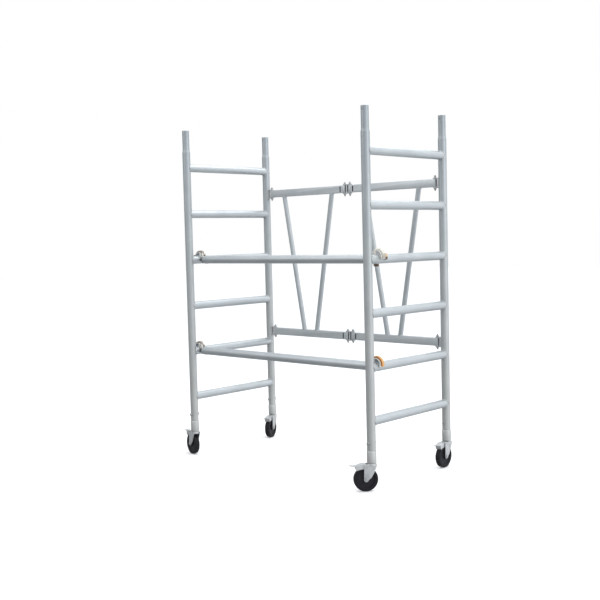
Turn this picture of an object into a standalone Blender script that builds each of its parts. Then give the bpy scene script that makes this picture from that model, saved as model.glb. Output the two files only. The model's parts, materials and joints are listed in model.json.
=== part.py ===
"""Baker scaffold: a folding, rolling aluminium base of two ladder frames, a gate and two braces.

Metres, +Z up. +X runs along the scaffold to the right-hand frame, -Y is its open front. Each frame
is two uprights and six rungs. The rear gate folds at its middle and draws the frames together, and
two clip-on braces join the frames in front.
"""

import math

import bmesh
import bpy
from mathutils import Matrix, Vector

# Driving sizes of the scaffold.
FRAME_PITCH = 1.500  # between the planes of the two ladder frames
FRAME_DEPTH = 0.730  # between the axes of a frame's two uprights
TUBE_RADIUS = 0.0254  # uprights, rungs and braces are the same 2 inch tube
TUBE_WALL = 0.0025
RUNG_COUNT = 6
RUNG_PITCH = 0.300
LOWEST_RUNG = 0.390
GAP = 0.0003  # air left between pieces that touch
MOVING_GAP = 0.0006

# Uprights, swaged to a spigot at the top.
UPRIGHT_BOTTOM = 0.2270
SHOULDER_LOW = 1.984
SHOULDER_HIGH = 2.008
SPIGOT_TOP = 2.130
SPIGOT_RADIUS = 0.0224
PIN_HOLE_RADIUS = 0.0055
PIN_HOLE_DROP = 0.022

# Gate: two halves of rectangular rail and round diagonals, hinged at the uprights and the middle.
GATE_LEVELS = {"lower": 0.763, "upper": 1.730}
RAIL_HEIGHT = 0.050
RAIL_WIDTH = 0.025
RAIL_WALL = 0.0025
END_PIN_OFFSET = 0.055  # from an upright's axis to the gate's end pin
MIDDLE_PIN_PITCH = 0.044
HINGE_PIN_RADIUS = 0.0050
HINGE_PIN_HALF = 0.047
HINGE_PLATE = 0.0050
DIAGONAL_RADIUS = 0.0155
DIAGONAL_WALL = 0.0020
DIAGONAL_CENTRE = 0.355  # middle of a gate half's V, from the middle of the scaffold
DIAGONAL_TOP_SPREAD = 0.218
DIAGONAL_FOOT_SPREAD = 0.057
RIGHT_INNER_SHIFT = 0.012  # the right half's inner diagonal is welded this much nearer its outer one

# Braces: a tube with a hook at each end, over the rungs near the front uprights.
BRACE_RUNGS = {"lower": 1, "upper": 3}  # counted from the lowest rung, which is 0
BRACE_Y = {"lower": -0.300, "upper": -0.270}
BRACE_TUBE_INSET = 0.042  # from a rung's axis to the end of the brace tube
CLAW_HALF = 0.0160
CLAW_INNER, CLAW_OUTER = 0.0260, 0.0366
TONGUE_SIDE, TONGUE_LOW = 0.0005, -0.0420  # the catch that reaches under the upper right rung
TONGUE_TIP, TONGUE_TOP = -0.0080, -0.0275
LEVER_HALF = 0.0090
LEVER_PIVOT = (-0.0300, 0.0330)  # outwards and upwards from the rung's axis
CROWN_CENTRE = (-0.0020, 0.0125)  # of the claw's back and the lever over it
LEVER_INNER, LEVER_OUTER = 0.0375, 0.0475
LEVER_PIN_RADIUS = 0.0030

# Castors.
CASTORS = {  # upright: direction of the trail, in degrees from +X
    "right_front": 230.0,
    "right_rear": 271.5,
    "left_front": 165.0,
    "left_rear": 290.5,
}
WHEEL_RADIUS = 0.0690
WHEEL_HALF = 0.0160
HUB_HALF = 0.0195
HUB_RADIUS = 0.0165
AXLE_RADIUS = 0.0050
TRAIL = 0.036
COLLAR_RADIUS = 0.0272
COLLAR_BOTTOM = 0.1570
STEM_TOP = 0.3200
BOLT_LEVEL = 0.2700
CROWN_TOP = 0.1562
CROWN_RADIUS = 0.0275
LEG_INNER, LEG_OUTER = 0.0205, 0.0235
LEG_FOOT_RADIUS = 0.0135
CROWN_BOTTOM = 0.1405
PEDAL_PIVOT = (0.044, 0.1490)  # along the trail and up
PEDAL_HALF = 0.0195
SKIRT_INNER = 0.0170
SHOE_GAP = 0.0017  # between the brake shoe and the tread

# The middle of the whole outline lies over the origin, so the frames stand a little off it.
CENTRE_X = 0.03549
CENTRE_Y = 0.03766

MATERIALS = {  # colour, metallic, roughness
    "aluminium": ((0.62, 0.64, 0.66, 1), 1.0, 0.42),
    "zinc": ((0.60, 0.62, 0.63, 1), 0.9, 0.35),
    "cast": ((0.66, 0.65, 0.61, 1), 0.9, 0.50),
    "orange": ((0.72, 0.33, 0.07, 1), 0.1, 0.45),
    "black_wheel": ((0.025, 0.025, 0.030, 1), 0.0, 0.60),
}


def clear_scene():
    for item in list(bpy.data.objects):
        bpy.data.objects.remove(item, do_unlink=True)


def material(slot):
    found = bpy.data.materials.get(slot)
    if found:
        return found
    colour, metallic, roughness = MATERIALS[slot]
    made = bpy.data.materials.new(slot)
    made.use_nodes = True
    shader = made.node_tree.nodes["Principled BSDF"]
    shader.inputs["Base Color"].default_value = colour
    shader.inputs["Metallic"].default_value = metallic
    shader.inputs["Roughness"].default_value = roughness
    made.diffuse_color = colour
    return made


def empty(name, place, parent=None, turn=0.0):
    """A joint's axis or a frame's corner. place is in the parent's frame."""
    made = bpy.data.objects.new(name, None)
    made.empty_display_size = 0.05
    bpy.context.scene.collection.objects.link(made)
    made.parent = parent
    made.location = place
    made.rotation_euler = (0, 0, turn)
    return made


def mesh_object(name, build, parent, place=(0, 0, 0), rotation=(0, 0, 0)):
    """An object from a bmesh, faces turned outwards."""
    bmesh.ops.recalc_face_normals(build, faces=build.faces)
    mesh = bpy.data.meshes.new(name)
    build.to_mesh(mesh)
    build.free()
    mesh.shade_smooth()
    mesh.set_sharp_from_angle(angle=math.radians(32))
    made = bpy.data.objects.new(name, mesh)
    bpy.context.scene.collection.objects.link(made)
    made.parent = parent
    made.location = place
    made.rotation_euler = rotation
    return made


def finish(node, slot, joined=(), cut=()):
    """Gives a node its material, and unions or cuts it with helper shapes."""
    node.data.materials.append(material(slot))
    for operation, helpers in (("UNION", joined), ("DIFFERENCE", cut)):
        for helper in helpers:
            helper.hide_render = True
            helper.display_type = "WIRE"
            step = node.modifiers.new(helper.name, "BOOLEAN")
            step.operation = operation
            step.object = helper
    return node


def turned(profile, segments, ring=False):
    """Turns (radius, z) points about Z. A ring closes on itself; a shaft gets flat ends."""
    build = bmesh.new()
    loops = []
    for radius, z in profile:
        loop = []
        for i in range(segments):
            angle = 2 * math.pi * i / segments
            loop.append(build.verts.new((radius * math.cos(angle), radius * math.sin(angle), z)))
        loops.append(loop)
    pairs = list(zip(loops, loops[1:] + loops[:1])) if ring else list(zip(loops, loops[1:]))
    for low, high in pairs:
        for i in range(segments):
            j = (i + 1) % segments
            build.faces.new((low[i], low[j], high[j], high[i]))
    if not ring:
        build.faces.new(loops[0])
        build.faces.new(loops[-1])
    return build


def prism(outline, low, high, axis="Z"):
    """Extrudes an outline between two levels of an axis. Its points are the other two, in order."""
    build = bmesh.new()
    ends = []
    for level in (low, high):
        if axis == "Z":
            points = [(a, b, level) for a, b in outline]
        elif axis == "Y":
            points = [(a, level, b) for a, b in outline]
        else:
            points = [(level, a, b) for a, b in outline]
        ends.append([build.verts.new(point) for point in points])
    build.faces.new(ends[0])
    build.faces.new(ends[1])
    count = len(outline)
    for i in range(count):
        j = (i + 1) % count
        build.faces.new((ends[0][i], ends[0][j], ends[1][j], ends[1][i]))
    return build


def box(low, high):
    outline = [(low[0], low[1]), (high[0], low[1]), (high[0], high[1]), (low[0], high[1])]
    return prism(outline, low[2], high[2])


def arc(centre, radius, start, end, steps):
    """Points along an arc, from one angle in degrees to another."""
    points = []
    for i in range(steps + 1):
        angle = math.radians(start + (end - start) * i / steps)
        points.append((centre[0] + radius * math.cos(angle), centre[1] + radius * math.sin(angle)))
    return points


def stadium(first, second, radius, steps=6):
    """A plate's outline with round ends about two points on X."""
    return arc((first, 0), radius, 90, 270, steps) + arc((second, 0), radius, -90, 90, steps)


def rod(name, radius, low, high, parent, place=(0, 0, 0), rotation=(0, 0, 0), segments=12):
    build = turned([(radius, low), (radius, high)], segments)
    return mesh_object(name, build, parent, place, rotation)


ALONG_Y = (-math.pi / 2, 0, 0)
ALONG_X = (0, math.pi / 2, 0)


def rung_level(index):
    return LOWEST_RUNG + index * RUNG_PITCH


def upright(name, parent, place):
    """A leg tube with its swaged spigot, drilled for the castor bolt and the locking pin."""
    inner = TUBE_RADIUS - TUBE_WALL
    spigot_inner = SPIGOT_RADIUS - TUBE_WALL
    profile = [
        (TUBE_RADIUS, UPRIGHT_BOTTOM),
        (TUBE_RADIUS, SHOULDER_LOW),
        (SPIGOT_RADIUS, SHOULDER_HIGH),
        (SPIGOT_RADIUS, SPIGOT_TOP),
        (spigot_inner, SPIGOT_TOP),
        (spigot_inner, SHOULDER_HIGH),
        (inner, SHOULDER_LOW),
        (inner, UPRIGHT_BOTTOM),
    ]
    node = mesh_object(name, turned(profile, 20, ring=True), parent, place)
    reach = 2 * TUBE_RADIUS
    bolt_at = (place[0], place[1], BOLT_LEVEL)
    pin_at = (place[0], place[1], SPIGOT_TOP - PIN_HOLE_DROP)
    cut = [
        rod(name + "_bolt_bore", 0.0054, -reach, reach, parent, bolt_at, ALONG_Y, 8),
        rod(name + "_pin_bore", PIN_HOLE_RADIUS, -reach, reach, parent, pin_at, ALONG_Y, 8),
    ]
    return finish(node, "aluminium", cut=cut)


def rung(name, parent, level):
    """A tube along Y whose ends are cut to sit round the uprights."""
    segments = 20
    half = FRAME_DEPTH / 2
    saddle = TUBE_RADIUS + 2 * GAP
    build = bmesh.new()
    loops = []
    for radius, side in (
        (TUBE_RADIUS, -1),
        (TUBE_RADIUS, 1),
        (TUBE_RADIUS - TUBE_WALL, 1),
        (TUBE_RADIUS - TUBE_WALL, -1),
    ):
        loop = []
        for i in range(segments):
            angle = 2 * math.pi * i / segments
            x = radius * math.cos(angle)
            end = half - math.sqrt(saddle**2 - x**2)
            loop.append(build.verts.new((x, side * end, radius * math.sin(angle))))
        loops.append(loop)
    for first, second in zip(loops, loops[1:] + loops[:1]):
        for i in range(segments):
            j = (i + 1) % segments
            build.faces.new((first[i], first[j], second[j], second[i]))
    node = mesh_object(name, build, parent, (0, 0, level))
    return finish(node, "aluminium")


def gate_bracket(name, parent, inwards, level):
    """The two ears and back plate that hold a rail's end at an upright. inwards is +1 or -1."""
    ear_low = RAIL_HEIGHT / 2 + 2 * MOVING_GAP
    ear_high = ear_low + HINGE_PLATE
    back = TUBE_RADIUS - 0.012
    half = 0.014
    y = FRAME_DEPTH / 2
    nose = arc((END_PIN_OFFSET, 0), half, -90, 90, 6)
    ear = [(inwards * a, b) for a, b in nose + [(back, half), (back, -half)]]
    plate = [(inwards * a, b) for a, b in ((back, -half), (0.034, -half), (0.034, half), (back, half))]
    node = mesh_object(name, prism(plate, -ear_high, ear_high), parent, (0, y, level))
    joined = [
        mesh_object(name + "_top_ear", prism(ear, ear_low, ear_high), parent, (0, y, level)),
        mesh_object(name + "_low_ear", prism(ear, -ear_high, -ear_low), parent, (0, y, level)),
    ]
    pin_place = (inwards * END_PIN_OFFSET, y, level)
    bore = HINGE_PIN_RADIUS + 0.0003
    cut = [
        rod(name + "_saddle", TUBE_RADIUS + GAP, -0.05, 0.05, parent, (0, y, level), segments=32),
        rod(name + "_pin_bore", bore, -0.05, 0.05, parent, pin_place),
    ]
    return finish(node, "zinc", joined, cut)


def hinge_pin(name, parent, inwards, level):
    """A bolt through a gate bracket and the rail's end, with a nut above and below."""
    seat = RAIL_HEIGHT / 2 + 2 * MOVING_GAP + HINGE_PLATE + GAP
    radius = HINGE_PIN_RADIUS
    head = 0.0085
    profile = [
        (radius, -HINGE_PIN_HALF),
        (radius, -seat - 0.007),
        (head, -seat - 0.007),
        (head, -seat),
        (radius, -seat),
        (radius, seat),
        (head, seat),
        (head, seat + 0.007),
        (radius, seat + 0.007),
        (radius, HINGE_PIN_HALF),
    ]
    place = (inwards * END_PIN_OFFSET, FRAME_DEPTH / 2, level)
    return finish(mesh_object(name, turned(profile, 8), parent, place), "zinc")


def gate_rail(name, parent, span, level):
    """A rectangular rail between two vertical pins: one on the parent's axis, one span away on X."""
    radius = RAIL_WIDTH / 2
    half = RAIL_HEIGHT / 2
    first, second = sorted((0.0, span))
    node = mesh_object(name, prism(stadium(first, second, radius), -half, half), parent, (0, 0, level))
    room = (radius - RAIL_WALL, half - RAIL_WALL)
    hollow = box((first - 0.05, -room[0], -room[1]), (second + 0.05, room[0], room[1]))
    bore = HINGE_PIN_RADIUS + 0.0003
    cut = [mesh_object(name + "_hollow", hollow, parent, (0, 0, level))]
    for label, x in (("near", 0.0), ("far", span)):
        cut.append(rod(f"{name}_{label}_bore", bore, -0.05, 0.05, parent, (x, 0, level)))
    return finish(node, "aluminium", cut=cut)


def gate_diagonal(name, parent, top_x, foot_x):
    """A round tube from the upper rail down to the lower one, its ends cut level with the rails."""
    top = GATE_LEVELS["upper"] - RAIL_HEIGHT / 2 - GAP
    foot = GATE_LEVELS["lower"] + RAIL_HEIGHT / 2 + GAP
    segments = 16
    lean = math.atan2(top_x - foot_x, top - foot)
    build = bmesh.new()
    loops = []
    for radius, x, z in (
        (DIAGONAL_RADIUS, foot_x, foot),
        (DIAGONAL_RADIUS, top_x, top),
        (DIAGONAL_RADIUS - DIAGONAL_WALL, top_x, top),
        (DIAGONAL_RADIUS - DIAGONAL_WALL, foot_x, foot),
    ):
        loop = []
        for i in range(segments):
            angle = 2 * math.pi * i / segments
            across = radius * math.cos(angle) / math.cos(lean)
            loop.append(build.verts.new((x + across, radius * math.sin(angle), z)))
        loops.append(loop)
    for first, second in zip(loops, loops[1:] + loops[:1]):
        for i in range(segments):
            j = (i + 1) % segments
            build.faces.new((first[i], first[j], second[j], second[i]))
    return finish(mesh_object(name, build, parent), "aluminium")


def gate_half(side, parent, span, pin_x):
    """One half of the gate: two rails and a V of diagonals. parent stands on its end pin."""
    direction = 1 if side == "right" else -1
    for level_name, level in GATE_LEVELS.items():
        gate_rail(f"{side}_gate_{level_name}_rail", parent, span, level)
    for label, sign in (("outer", 1), ("inner", -1)):
        top_x = direction * (DIAGONAL_CENTRE + sign * DIAGONAL_TOP_SPREAD) - pin_x
        foot_x = direction * (DIAGONAL_CENTRE + sign * DIAGONAL_FOOT_SPREAD) - pin_x
        shift = RIGHT_INNER_SHIFT if (side, label) == ("right", "inner") else 0
        gate_diagonal(f"{side}_gate_{label}_diagonal", parent, top_x + shift, foot_x + shift)


def gate_link(name, parent, level):
    """The double hinge: two plates and a block between the rails' ends, with a bolt at each end."""
    plate_low = RAIL_HEIGHT / 2 + 2 * MOVING_GAP
    plate_high = plate_low + HINGE_PLATE
    half_pitch = MIDDLE_PIN_PITCH / 2
    block = half_pitch - RAIL_WIDTH / 2 - 0.001
    centre = -half_pitch  # the parent stands on the right-hand pin
    place = (0, 0, level)
    outline = stadium(centre - half_pitch, centre + half_pitch, 0.0145)
    core = box((centre - block, -0.0115, -plate_high + 0.001), (centre + block, 0.0115, plate_high - 0.001))
    node = mesh_object(name, core, parent, place)
    joined = [
        mesh_object(name + "_top_plate", prism(outline, plate_low, plate_high), parent, place),
        mesh_object(name + "_low_plate", prism(outline, -plate_high, -plate_low), parent, place),
    ]
    radius = HINGE_PIN_RADIUS
    head = 0.0080
    bolt = [
        (radius, -HINGE_PIN_HALF),
        (radius, -plate_high - 0.007),
        (head, -plate_high - 0.007),
        (head, -plate_high + 0.001),
        (radius, -plate_high + 0.001),
        (radius, plate_high - 0.001),
        (head, plate_high - 0.001),
        (head, plate_high + 0.007),
        (radius, plate_high + 0.007),
        (radius, HINGE_PIN_HALF),
    ]
    for label, sign in (("left", -1), ("right", 1)):
        at = (centre + sign * half_pitch, 0, level)
        joined.append(mesh_object(f"{name}_{label}_bolt", turned(bolt, 8), parent, at))
    return finish(node, "zinc", joined)


def claw_outline():
    """A hook that drops over a rung, in the plane across the rung: outwards, upwards."""
    outline = arc((0, 0), CLAW_INNER, 0, 120, 9)
    outline += [(-0.0284, 0.0120), (-0.0284, -0.0120), (-0.0320, -0.0195), (-0.0410, -0.0215)]
    outline += [(-0.0410, 0.0250), (-0.0228, 0.0252), (-0.0216, 0.0330)]
    return outline + arc(CROWN_CENTRE, CLAW_OUTER, 118, -20, 10) + [(0.0295, -0.0012)]


def ear_outline():
    """One of the two cheeks that carry the lever's pin."""
    return [(-0.0410, 0.0235), (-0.0410, 0.0310)] + arc(LEVER_PIVOT, 0.0080, 160, 20, 6) + [(-0.0205, 0.0235)]


def lever_outline(with_tab):
    """The hook's locking lever: an arc from its pivot over the claw, with or without a finger tab."""
    pad = arc(LEVER_PIVOT, 0.0065, 300, 75, 6)
    under = arc(CROWN_CENTRE, LEVER_INNER, -12, 125, 10)
    if not with_tab:
        return pad + arc(CROWN_CENTRE, LEVER_OUTER, 118, -12, 10) + under
    over = arc(CROWN_CENTRE, LEVER_OUTER, 118, 34, 7)
    tab = [(0.0480, 0.0325), (0.0565, 0.0300), (0.0590, 0.0240), (0.0585, 0.0050), (0.0550, -0.0010)]
    return pad + over + tab + [(0.0400, -0.0060)] + under


def hook(name, parent, outwards, place, with_tongue):
    """A cast claw with the plug that fills the brace tube's end, and its lever's pivot pin."""
    turn = (0, 0, 0 if outwards > 0 else math.pi)
    node = mesh_object(name, prism(claw_outline(), -CLAW_HALF, CLAW_HALF, "Y"), parent, place, turn)
    plug_radius = TUBE_RADIUS - TUBE_WALL - GAP
    plug = [
        (plug_radius, -0.0780),
        (plug_radius, -BRACE_TUBE_INSET + GAP),
        (TUBE_RADIUS - GAP, -BRACE_TUBE_INSET + GAP),
        (TUBE_RADIUS - GAP, -0.0345),
        (TUBE_RADIUS - 0.0034, -0.0305),
    ]
    plug_turn = ALONG_X if outwards > 0 else (0, -math.pi / 2, 0)
    head = CLAW_HALF + 0.0020
    radius = LEVER_PIN_RADIUS
    pin = [(radius, -head), (radius, head)]
    pin_place = (place[0] + outwards * LEVER_PIVOT[0], place[1], place[2] + LEVER_PIVOT[1])
    joined = [
        mesh_object(name + "_plug", turned(plug, 16), parent, place, plug_turn),
        mesh_object(name + "_pin", turned(pin, 8), parent, pin_place, ALONG_Y),
    ]
    for label, low, high in (
        ("front", -CLAW_HALF, -LEVER_HALF - 0.0004),
        ("rear", LEVER_HALF + 0.0004, CLAW_HALF),
    ):
        cheek = prism(ear_outline(), low, high, "Y")
        joined.append(mesh_object(f"{name}_{label}_cheek", cheek, parent, place, turn))
    if with_tongue:
        side = CLAW_HALF - 0.0005
        shank = box((-0.0370, TONGUE_SIDE, TONGUE_LOW), (-0.0284, side, -0.0100))
        toe = box((-0.0330, TONGUE_SIDE + GAP, TONGUE_LOW + GAP), (TONGUE_TIP, side - GAP, TONGUE_TOP))
        joined.append(mesh_object(name + "_shank", shank, parent, place, turn))
        joined.append(mesh_object(name + "_toe", toe, parent, place, turn))
    return finish(node, "cast", joined)


def hook_lever(name, parent, outwards, with_tab):
    """The orange locking lever. parent stands on its pivot."""
    points = lever_outline(with_tab)
    outline = [(outwards * (x - LEVER_PIVOT[0]), z - LEVER_PIVOT[1]) for x, z in points]
    node = mesh_object(name, prism(outline, -LEVER_HALF, LEVER_HALF, "Y"), parent)
    bore = LEVER_PIN_RADIUS + 0.0004
    cut = [rod(name + "_bore", bore, -0.02, 0.02, parent, rotation=ALONG_Y, segments=12)]
    return finish(node, "orange", cut=cut)


def brace(level_name, parent):
    """A front brace. parent stands on the right-hand rung's axis, at the brace's depth."""
    length = FRAME_PITCH - 2 * BRACE_TUBE_INSET
    inner = TUBE_RADIUS - TUBE_WALL
    tube = [(TUBE_RADIUS, 0), (TUBE_RADIUS, length), (inner, length), (inner, 0)]
    place = (-BRACE_TUBE_INSET - length, 0, 0)
    name = f"{level_name}_brace"
    node = mesh_object(name + "_tube", turned(tube, 20, ring=True), parent, place, ALONG_X)
    finish(node, "aluminium")
    for side, outwards, x in (("right", 1, 0.0), ("left", -1, -FRAME_PITCH)):
        with_tongue = (level_name, side) == ("upper", "right")
        hook(f"{name}_{side}_hook", parent, outwards, (x, 0, 0), with_tongue)
        pivot = (x + outwards * LEVER_PIVOT[0], 0, LEVER_PIVOT[1])
        axis = empty(f"{name}_{side}_lever_axis", pivot, parent)
        hook_lever(f"{name}_{side}_lever", axis, outwards, with_tab=level_name == "upper")


def castor_stem(name, parent):
    """The stem in the leg, its collar below the leg and the bolt that holds it."""
    stem = TUBE_RADIUS - TUBE_WALL - 0.0005
    profile = [
        (COLLAR_RADIUS - 0.0020, COLLAR_BOTTOM),
        (COLLAR_RADIUS, COLLAR_BOTTOM + 0.0020),
        (COLLAR_RADIUS, UPRIGHT_BOTTOM - GAP),
        (stem, UPRIGHT_BOTTOM - GAP),
        (stem, STEM_TOP),
    ]
    node = mesh_object(name, turned(profile, 16), parent)
    reach = TUBE_RADIUS + GAP
    bolt = [
        (0.0085, -reach - 0.0100),
        (0.0085, -reach),
        (0.0050, -reach),
        (0.0050, reach),
        (0.0085, reach),
        (0.0085, reach + 0.0095),
    ]
    bolt_object = mesh_object(name + "_bolt", turned(bolt, 8), parent, (0, 0, BOLT_LEVEL), ALONG_Y)
    return finish(node, "zinc", [bolt_object])


def leg_outline():
    """A fork leg in the plane of the trail: wide under the crown, round at the axle."""
    outline = [(0.0059, 0.0805), (-0.0113, 0.1105), (-0.0236, 0.1410), (-0.0270, 0.1540), (0.0400, 0.1540)]
    outline += arc(PEDAL_PIVOT, 0.0075, 100, -20, 4)
    outline += [(0.0480, 0.1310)]
    outline += arc((TRAIL, WHEEL_RADIUS), LEG_FOOT_RADIUS, 5, -165, 7)
    return outline


def castor_fork(name, parent):
    """The swivelling fork with its crown, two legs, the axle and the pedal's pivot."""
    crown = [
        (CROWN_RADIUS - 0.0020, CROWN_BOTTOM),
        (CROWN_RADIUS, 0.1480),
        (CROWN_RADIUS - 0.0030, CROWN_TOP),
    ]
    node = mesh_object(name, turned(crown, 16), parent)
    joined = []
    for label, sign in (("near", -1), ("far", 1)):
        low, high = sorted((sign * LEG_INNER, sign * LEG_OUTER))
        leg = prism(leg_outline(), low, high, "Y")
        joined.append(mesh_object(f"{name}_{label}_leg", leg, parent))
    deck = box((-0.0225, -0.0220, CROWN_BOTTOM), (0.0320, 0.0220, 0.1460))
    joined.append(mesh_object(name + "_deck", deck, parent))
    head = LEG_OUTER + 0.0055
    axle = [
        (0.0090, -head),
        (0.0090, -LEG_OUTER + 0.001),
        (AXLE_RADIUS, -LEG_OUTER + 0.001),
        (AXLE_RADIUS, LEG_OUTER - 0.001),
        (0.0090, LEG_OUTER - 0.001),
        (0.0090, head),
    ]
    axle_at = (TRAIL, 0, WHEEL_RADIUS)
    joined.append(mesh_object(name + "_axle", turned(axle, 10), parent, axle_at, ALONG_Y))
    pivot_at = (PEDAL_PIVOT[0], 0, PEDAL_PIVOT[1])
    pivot_reach = LEG_OUTER + 0.0015
    joined.append(rod(name + "_pivot", 0.0025, -pivot_reach, pivot_reach, parent, pivot_at, ALONG_Y, 8))
    return finish(node, "zinc", joined)


def castor_wheel(name, parent):
    """A solid wheel with a rounded tread, a recessed web and a hub. parent stands on its axle."""
    bore = AXLE_RADIUS + 0.0004
    half = WHEEL_HALF
    right_side = [
        (bore, HUB_HALF),
        (HUB_RADIUS, HUB_HALF),
        (HUB_RADIUS, half - 0.006),
        (0.0490, half - 0.006),
        (0.0525, half),
        (WHEEL_RADIUS - 0.0040, half - 0.0015),
        (WHEEL_RADIUS, half - 0.0080),
    ]
    left_side = [(radius, -z) for radius, z in reversed(right_side)]
    build = turned(right_side + left_side, 24, ring=True)
    return finish(mesh_object(name, build, parent, rotation=ALONG_Y), "black_wheel")


def pedal_plate_outline():
    """The tread plate, turned up at its end, and the shoe that follows the wheel."""
    top = [(0.0350, 0.1555), (0.0600, 0.1560), (0.0780, 0.1510), (0.0920, 0.1465), (0.1060, 0.1450)]
    lip = [(0.1190, 0.1475), (0.1290, 0.1530), (0.1300, 0.1505), (0.1200, 0.1448), (0.1070, 0.1420)]
    front = [(0.0960, 0.1425), (0.0930, 0.1250), (0.0885, 0.1175)]
    shoe = arc((TRAIL, WHEEL_RADIUS), WHEEL_RADIUS + SHOE_GAP, 45, 84, 5)
    return top + lip + front + shoe


def pedal_skirt_outline():
    """One of the two sides of the pedal, outside the tread and inside the fork's legs."""
    back = [(0.0365, 0.1540), (0.0365, 0.1370), (0.0440, 0.1290)]
    return back + [(0.0700, 0.1250), (0.0900, 0.1190), (0.0930, 0.1250), (0.0960, 0.1440), (0.0700, 0.1520)]


def castor_pedal(name, parent):
    """The brake pedal: a bent plate with a shoe over the tread. parent stands on its pivot."""
    px, pz = PEDAL_PIVOT
    plate = [(x - px, z - pz) for x, z in pedal_plate_outline()]
    skirt = [(x - px, z - pz) for x, z in pedal_skirt_outline()]
    node = mesh_object(name, prism(plate, -SKIRT_INNER, SKIRT_INNER, "Y"), parent)
    joined = []
    for label, sign in (("near", -1), ("far", 1)):
        low, high = sorted((sign * (SKIRT_INNER - 0.0001), sign * PEDAL_HALF))
        joined.append(mesh_object(f"{name}_{label}_skirt", prism(skirt, low, high, "Y"), parent))
    cut = [rod(name + "_bore", 0.0030, -0.03, 0.03, parent, rotation=ALONG_Y, segments=8)]
    return finish(node, "zinc", joined, cut)


def castor(label, corner):
    """One braked swivel castor below an upright. corner stands on the upright's axis."""
    castor_stem(f"{label}_castor_stem", corner)
    swivel = empty(f"{label}_swivel_axis", (0, 0, 0), corner, math.radians(CASTORS[label]))
    castor_fork(f"{label}_castor_fork", swivel)
    axle = empty(f"{label}_wheel_axis", (TRAIL, 0, WHEEL_RADIUS), swivel)
    castor_wheel(f"{label}_castor_wheel", axle)
    pivot = empty(f"{label}_pedal_axis", (PEDAL_PIVOT[0], 0, PEDAL_PIVOT[1]), swivel)
    castor_pedal(f"{label}_brake_pedal", pivot)


def ladder_frame(side, parent):
    """One end frame with its castors. parent stands in the frame's plane, over its middle."""
    inwards = -1 if side == "right" else 1
    for label, y in (("front", -FRAME_DEPTH / 2), ("rear", FRAME_DEPTH / 2)):
        upright(f"{side}_{label}_upright", parent, (0, y, 0))
        castor(f"{side}_{label}", empty(f"{side}_{label}_corner", (0, y, 0), parent))
    for index in range(RUNG_COUNT):
        rung(f"{side}_rung_{index + 1}", parent, rung_level(index))
    for level_name, level in GATE_LEVELS.items():
        gate_bracket(f"{side}_{level_name}_gate_bracket", parent, inwards, level)
        hinge_pin(f"{side}_{level_name}_gate_pin", parent, inwards, level)


def scaffold():
    base = empty("scaffold", (CENTRE_X, CENTRE_Y, 0))
    half = FRAME_PITCH / 2
    right = empty("right_frame", (half, 0, 0), base)
    left = empty("left_frame", (-half, 0, 0), base)
    ladder_frame("right", right)
    ladder_frame("left", left)
    end_pin = half - END_PIN_OFFSET
    middle_pin = MIDDLE_PIN_PITCH / 2
    span = end_pin - middle_pin
    gate_y = FRAME_DEPTH / 2
    right_half = empty("right_gate_axis", (end_pin, gate_y, 0), base)
    left_half = empty("left_gate_axis", (-end_pin, gate_y, 0), base)
    gate_half("right", right_half, -span, end_pin)
    gate_half("left", left_half, span, -end_pin)
    middle = empty("gate_link_axis", (middle_pin, gate_y, 0), base)
    for level_name, level in GATE_LEVELS.items():
        gate_link(f"{level_name}_gate_link", middle, level)
    for level_name, index in BRACE_RUNGS.items():
        axis = empty(f"{level_name}_brace_axis", (half, BRACE_Y[level_name], rung_level(index)), base)
        brace(level_name, axis)


def main():
    clear_scene()
    scaffold()
    bpy.context.view_layer.update()


main()
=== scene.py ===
"""Baker scaffold: the detailed look of the folding aluminium base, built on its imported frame.

Every piece is made here at fine resolution in the place of its CAD solid, and rides on that
solid's body. Metres, +Z up.
"""

import json
import math

import bmesh
import bpy
from mathutils import Matrix, Vector


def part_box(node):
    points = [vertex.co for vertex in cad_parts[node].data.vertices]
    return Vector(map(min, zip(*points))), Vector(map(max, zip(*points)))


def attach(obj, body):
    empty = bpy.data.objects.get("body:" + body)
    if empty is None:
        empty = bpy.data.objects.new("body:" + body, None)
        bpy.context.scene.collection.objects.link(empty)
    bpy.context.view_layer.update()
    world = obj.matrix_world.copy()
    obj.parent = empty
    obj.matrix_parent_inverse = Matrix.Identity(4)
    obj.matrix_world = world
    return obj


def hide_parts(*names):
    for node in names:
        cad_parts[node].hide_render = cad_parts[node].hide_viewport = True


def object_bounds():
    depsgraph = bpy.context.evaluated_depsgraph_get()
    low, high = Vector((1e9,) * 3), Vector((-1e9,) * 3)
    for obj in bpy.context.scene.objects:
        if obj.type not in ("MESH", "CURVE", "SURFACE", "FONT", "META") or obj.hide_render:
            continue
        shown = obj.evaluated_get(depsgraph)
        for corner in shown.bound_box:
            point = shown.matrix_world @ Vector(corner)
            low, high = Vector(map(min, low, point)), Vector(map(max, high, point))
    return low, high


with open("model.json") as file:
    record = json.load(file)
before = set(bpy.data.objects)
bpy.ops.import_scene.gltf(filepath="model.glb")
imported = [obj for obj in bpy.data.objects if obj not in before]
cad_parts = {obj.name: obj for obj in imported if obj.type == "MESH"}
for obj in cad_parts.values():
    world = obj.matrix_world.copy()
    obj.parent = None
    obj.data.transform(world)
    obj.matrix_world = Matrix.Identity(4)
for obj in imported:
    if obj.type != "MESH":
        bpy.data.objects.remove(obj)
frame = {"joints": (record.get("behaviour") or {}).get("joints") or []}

CAD_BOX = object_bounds()
JOINTS = {joint["name"]: joint for joint in frame["joints"]}

# Camera: place and heading, in metres and degrees.
CAMERA_PLACE = (4.13649, -4.45734, 1.4236)
CAMERA_YAW, CAMERA_PITCH, CAMERA_ROLL = 133.125, -3.739, -1.4225
CAMERA_LENS = 57.85

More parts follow.
